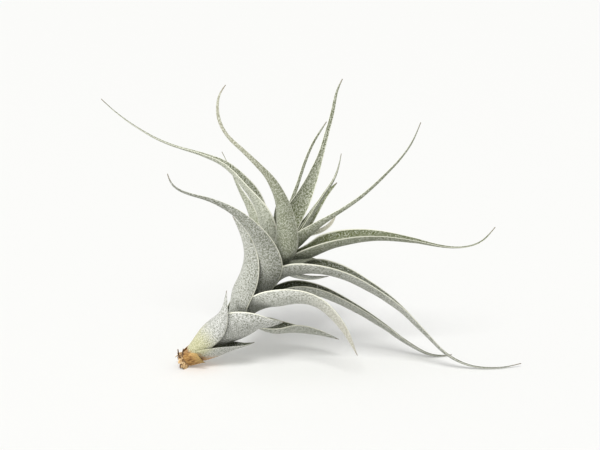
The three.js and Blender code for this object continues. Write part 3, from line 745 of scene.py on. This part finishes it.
class Graph:
    """Builds a node material: each call adds nodes and returns an output of the last."""

    def __init__(self, name):
        self.material = bpy.data.materials.new(name)
        self.material.use_nodes = True
        self.tree = self.material.node_tree
        self.shader = self.tree.nodes["Principled BSDF"]

    def link(self, value, socket):
        if isinstance(value, bpy.types.NodeSocket):
            self.tree.links.new(value, socket)
        elif value is not None:
            socket.default_value = value

    def add(self, kind, inputs=(), output=0, **settings):
        node = self.tree.nodes.new("ShaderNode" + kind)
        for key, value in settings.items():
            setattr(node, key, value)
        for key, value in dict(inputs).items():
            self.link(value, node.inputs[key])
        return node.outputs[output]

    def number(self, name):
        return self.add("Attribute", attribute_name=name, output="Fac")

    def uv(self):
        return self.add("UVMap", uv_map=UV_NAME)

    def stretched(self, uv, stretch):
        return self.add("Mapping", {"Vector": uv, "Scale": stretch})

    def grain(self, uv, scale, detail, roughness=0.5):
        inputs = {"Vector": uv, "Scale": scale, "Detail": detail, "Roughness": roughness}
        return self.add("TexNoise", inputs)

    def math(self, operation, a, b=None, c=None):
        return self.add("Math", {0: a, 1: b, 2: c}, operation=operation)

    def between(self, value, low, high, start=0.0, end=1.0):
        """value taken from low..high to start..end, eased and held at the ends."""
        inputs = {"Value": value, "From Min": low, "From Max": high, "To Min": start, "To Max": end}
        return self.add("MapRange", inputs, interpolation_type="SMOOTHSTEP")

    def centred(self, value, base, strength):
        """base plus strength times value, less half of strength, as a noise is about a half."""
        return self.math("MULTIPLY_ADD", value, strength, self.math("SUBTRACT", base, strength / 2))

    def blend(self, part, a, b):
        """Colour a where part is 0, and b where it is 1."""
        node = self.tree.nodes.new("ShaderNodeMix")
        node.data_type = "RGBA"
        colours = [s for s in node.inputs if s.type == "RGBA"]
        self.link(part, node.inputs[0])
        self.link(a, colours[0])
        self.link(b, colours[1])
        return next(s for s in node.outputs if s.type == "RGBA")

    def bump(self, height, strength, distance):
        return self.add("Bump", {"Height": height, "Strength": strength, "Distance": distance})

    def surface(self, **sockets):
        for key, value in sockets.items():
            self.link(value, self.shader.inputs[key.replace("_", " ")])


def colour(r, g, b):
    return (r, g, b, 1.0)


# Where a name holds two colours, a noise blends them, and the darker comes first.
FOOT_YELLOW = colour(0.25, 0.25, 0.09), colour(0.64, 0.61, 0.34)
DRIED_BROWN = colour(0.30, 0.13, 0.035), colour(0.60, 0.34, 0.12)
BLEACHED_STRAW = colour(0.42, 0.38, 0.28), colour(0.76, 0.74, 0.64)
STEM_BROWN = colour(0.17, 0.08, 0.03), colour(0.58, 0.36, 0.16)
STEM_GREEN = colour(0.26, 0.29, 0.13), colour(0.52, 0.53, 0.34)
# pale margins, partly a painted highlight along the edges
PALE_MARGIN_AND_HIGHLIGHT = colour(0.84, 0.84, 0.70)
DEAD_POINT = colour(0.20, 0.15, 0.10)
SHEATH_GREEN = colour(0.47, 0.38, 0.15)


def leaf_material(name, tissue, inner_tissue_and_shade, silver, cover, inner_cover):
    """Green leaf under silver scales: a dense coat outside, a thinner one inside on darker green
    that is partly painted shade, and pale margins that are partly a painted highlight.
    """
    g = Graph(name)
    uv = g.uv()
    inside = g.between(g.number("inside"), 0.2, 0.8)
    across = g.number("across")
    part = g.number("part")
    foot = g.number("foot")
    under = g.number("under")

    rows = g.stretched(uv, (1.3, 1.0, 1.0))
    scales = {"Vector": rows, "Scale": 1.45, "Randomness": 1.0}
    shields = g.add("TexVoronoi", scales, output="Distance")
    mottle = g.grain(rows, 1.4, 2.0, 0.8)
    streaks = g.grain(g.stretched(uv, (1.5, 0.05, 1.0)), 1.0, 3.0, 0.6)
    patches = g.grain(uv, 0.1, 3.0)

    # how much of the coat covers a place: speckle, patches, streaks, then gaps between the scales
    coat = g.math("MULTIPLY_ADD", mottle, 4.4, -2.2)
    coat = g.centred(patches, coat, 0.4)
    coat = g.centred(streaks, coat, 0.5)
    coat = g.math("SUBTRACT", coat, g.between(shields, 0.3, 0.7, -0.15, 0.5))
    coat = g.math("ADD", coat, g.between(inside, 0.0, 1.0, cover, inner_cover))
    # painted shade deep in the channel near the foot, a little barer towards the tip, and each
    # leaf's own thinner coat, which is partly painted shade on leaves that lie in the shade of
    # others
    painted_channel_shade = g.between(part, 0.0, 0.35, 0.25, 0.0)
    coat = g.math("SUBTRACT", coat, g.math("MULTIPLY", inside, painted_channel_shade))
    coat = g.math("SUBTRACT", coat, g.between(part, 0.3, 1.0, 0.0, 0.05))
    coat = g.math("SUBTRACT", coat, g.number("thinner_coat_and_shade"))
    coat = g.add("Clamp", {"Value": coat})
    # the inner face's own darker green, made darker still as painted shade in the channel
    skin = g.blend(coat, g.blend(inside, tissue, inner_tissue_and_shade), silver)

    # yellow low on the plant, mostly on its upper side, then brown where the sheath dries at the
    # stub, mostly underneath
    yellow = g.blend(g.between(mottle, 0.3, 0.7), *FOOT_YELLOW)
    low = g.centred(streaks, foot, 10.0)
    yellowed = g.math("MULTIPLY", g.between(low, 13.0, 27.0, 0.75, 0.0),
                      g.between(under, -1.0, 5.0, 1.0, 0.1))
    skin = g.blend(yellowed, skin, yellow)
    dried = g.math("MULTIPLY_ADD", under, -0.8, low)
    skin = g.blend(g.between(dried, 7.0, 11.5, 0.95, 0.0), skin, g.blend(mottle, *DRIED_BROWN))

    # bleached leaves, pale margins above the foot that are partly a painted highlight along the
    # edges, and a dead point
    pale = g.math("MULTIPLY", g.number("pale"), g.between(part, 0.3, 0.85))
    skin = g.blend(pale, skin, g.blend(g.between(mottle, 0.3, 0.7), *BLEACHED_STRAW))
    margin = g.math("MULTIPLY", g.between(across, 0.93, 0.99),
                    g.between(foot, 22.0, 38.0, 0.05, 0.9))
    margin = g.math("MULTIPLY", margin, g.between(part, 0.75, 1.0, 1.0, 0.2))
    skin = g.blend(margin, skin, PALE_MARGIN_AND_HIGHLIGHT)
    skin = g.blend(g.between(part, 0.94, 1.0, 0.0, 0.75), skin, DEAD_POINT)

    height = g.math("MULTIPLY_ADD", streaks, 0.7, g.math("MULTIPLY", coat, 0.6))
    g.surface(Base_Color=skin, Roughness=0.75, Normal=g.bump(height, 0.5, 0.0002),
              Sheen_Weight=0.15, Sheen_Roughness=0.5, Specular_IOR_Level=0.25)
    return g.material


def stem_material(name):
    """Brown and fibrous at the foot, pale green where the leaves cover it."""
    g = Graph(name)
    fibres = g.grain(g.stretched(g.uv(), (1.2, 0.5, 1.0)), 1.0, 5.0, 0.7)
    brown = g.blend(g.between(fibres, 0.3, 0.7), *STEM_BROWN)
    green = g.blend(g.between(fibres, 0.3, 0.7), *STEM_GREEN)
    tone = g.blend(g.between(g.number("foot"), 8.0, 18.0), brown, green)
    g.surface(Base_Color=tone, Roughness=0.85, Normal=g.bump(fibres, 0.7, 0.0003),
              Specular_IOR_Level=0.2)
    return g.material


def dry_material(name, light, middle, dark, stained, greened=0.0):
    """Papery dead tissue: fibres along the piece, stains, no shine, and greener up the stem."""
    g = Graph(name)
    uv = g.uv()
    fibres = g.grain(g.stretched(uv, (2.2, 0.25, 1.0)), 1.0, 5.0, 0.7)
    stains = g.grain(g.stretched(uv, (1.0, 0.4, 1.0)), 0.9, 4.0)
    tone = g.blend(g.between(fibres, 0.41, 0.59), middle, light)
    tone = g.blend(g.between(stains, 0.46, 0.66, 0.0, stained), tone, dark)
    if greened:
        higher = g.centred(stains, g.number("foot"), 6.0)
        tone = g.blend(g.between(higher, 6.5, 11.0, 0.0, greened), tone, SHEATH_GREEN)
    g.surface(Base_Color=tone, Roughness=0.85, Normal=g.bump(fibres, 0.7, 0.0003),
              Specular_IOR_Level=0.2)
    return g.material


# the second colour of each is the inner face's green, partly painted shade
MATERIALS = {
    "lower": leaf_material("leaf_lower", colour(0.18, 0.19, 0.15), colour(0.08, 0.09, 0.05),
                           colour(0.60, 0.60, 0.57), 0.86, 0.3),
    "middle": leaf_material("leaf_middle", colour(0.16, 0.17, 0.12), colour(0.06, 0.07, 0.03),
                            colour(0.57, 0.575, 0.53), 0.8, 0.38),
    "upper": leaf_material("leaf_upper", colour(0.17, 0.185, 0.11), colour(0.09, 0.105, 0.035),
                           colour(0.57, 0.585, 0.49), 0.78, 0.5),
}
straw = dry_material("dry_sheath", colour(0.54, 0.34, 0.13), colour(0.28, 0.14, 0.04),
                     colour(0.14, 0.06, 0.02), 0.85, 0.4)
paper = dry_material("torn_ends", colour(0.84, 0.64, 0.38), colour(0.60, 0.38, 0.17),
                     colour(0.15, 0.07, 0.025), 0.9)
root_bark = dry_material("roots", colour(0.26, 0.15, 0.08), colour(0.12, 0.07, 0.035),
                         colour(0.03, 0.02, 0.015), 0.9)


# ---------------------------------------------------------------- the plant

for index, leaf in enumerate(LEAVES, 1):
    node = f"leaf_{index:02d}"
    tone = leaf["tone"]
    piece = leaf_piece(f"fine_{node}", leaf, MATERIALS[tone], index)
    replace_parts(piece, node)
for index, sheath in enumerate(DRY_SHEATHS, 1):
    node = f"dry_sheath_{index}"
    seed = DRY_SHEATH_SEED + index
    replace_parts(leaf_piece(f"fine_{node}", sheath, straw, seed), node)
for index, leaf in enumerate(BUD, 1):
    leaf_piece(f"bud_leaf_{index}", leaf, MATERIALS["upper"], BUD_SEED + index)
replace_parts(bare_stem().piece("fine_stem", stem_material("dry_stem"), "dry_stem"), "stem")
torn_ends().piece("torn_ends", paper, "dry_stem")
stub_threads().piece("roots_and_fibres", root_bark, "dry_stem")


# ---------------------------------------------------------------- camera, floor and light

def place_camera():
    data = bpy.data.cameras.new("photo_camera")
    data.lens = LENS
    data.sensor_width = SENSOR
    data.clip_start = CLIP_START
    camera = bpy.data.objects.new("photo_camera", data)
    bpy.context.scene.collection.objects.link(camera)
    tilt = math.radians(CAMERA_ELEVATION)
    back = Vector((0, -math.cos(tilt), math.sin(tilt)))
    target = Vector(TARGET) * MM
    camera.location = target + back * CAMERA_DISTANCE * MM
    camera.rotation_euler = back.to_track_quat("Z", "Y").to_euler()
    bpy.context.scene.camera = camera


def lay_floor():
    mesh = bpy.data.meshes.new("floor")
    side = FLOOR_HALF_SIDE
    corners = [(-side, -side, 0), (side, -side, 0), (side, side, 0), (-side, side, 0)]
    mesh.from_pydata(corners, [], [(0, 1, 2, 3)])
    floor = bpy.data.objects.new("floor", mesh)
    bpy.context.scene.collection.objects.link(floor)
    g = Graph("floor")
    g.surface(Base_Color=FLOOR_COLOUR, Roughness=0.9, Specular_IOR_Level=0.1)
    mesh.materials.append(g.material)
    return floor


def add_soft_sun(floor, name, towards, spread, strength, on_floor, shadow):
    """A wide soft light from one side, on the floor alone or on everything but the floor."""
    data = bpy.data.lights.new(name, "SUN")
    data.angle = math.radians(spread)
    data.energy = strength
    data.use_shadow = shadow
    light = bpy.data.objects.new(name, data)
    bpy.context.scene.collection.objects.link(light)
    light.rotation_euler = Vector(towards).to_track_quat("Z", "Y").to_euler()
    receivers = bpy.data.collections.new(name + "_receivers")
    receivers.objects.link(floor)
    state = "INCLUDE" if on_floor else "EXCLUDE"
    receivers.collection_objects[0].light_linking.link_state = state
    light.light_linking.receiver_collection = receivers


def light_scene(floor):
    """Even light from all round, and the suns."""
    world = bpy.data.worlds.new("studio")
    world.use_nodes = True
    background = world.node_tree.nodes["Background"]
    background.inputs["Color"].default_value = WORLD_COLOUR
    background.inputs["Strength"].default_value = WORLD_STRENGTH
    bpy.context.scene.world = world
    for sun in SUNS:
        add_soft_sun(floor, *sun)
    view = bpy.context.scene.view_settings
    view.view_transform = "Standard"
    view.look = "None"


place_camera()
light_scene(lay_floor())
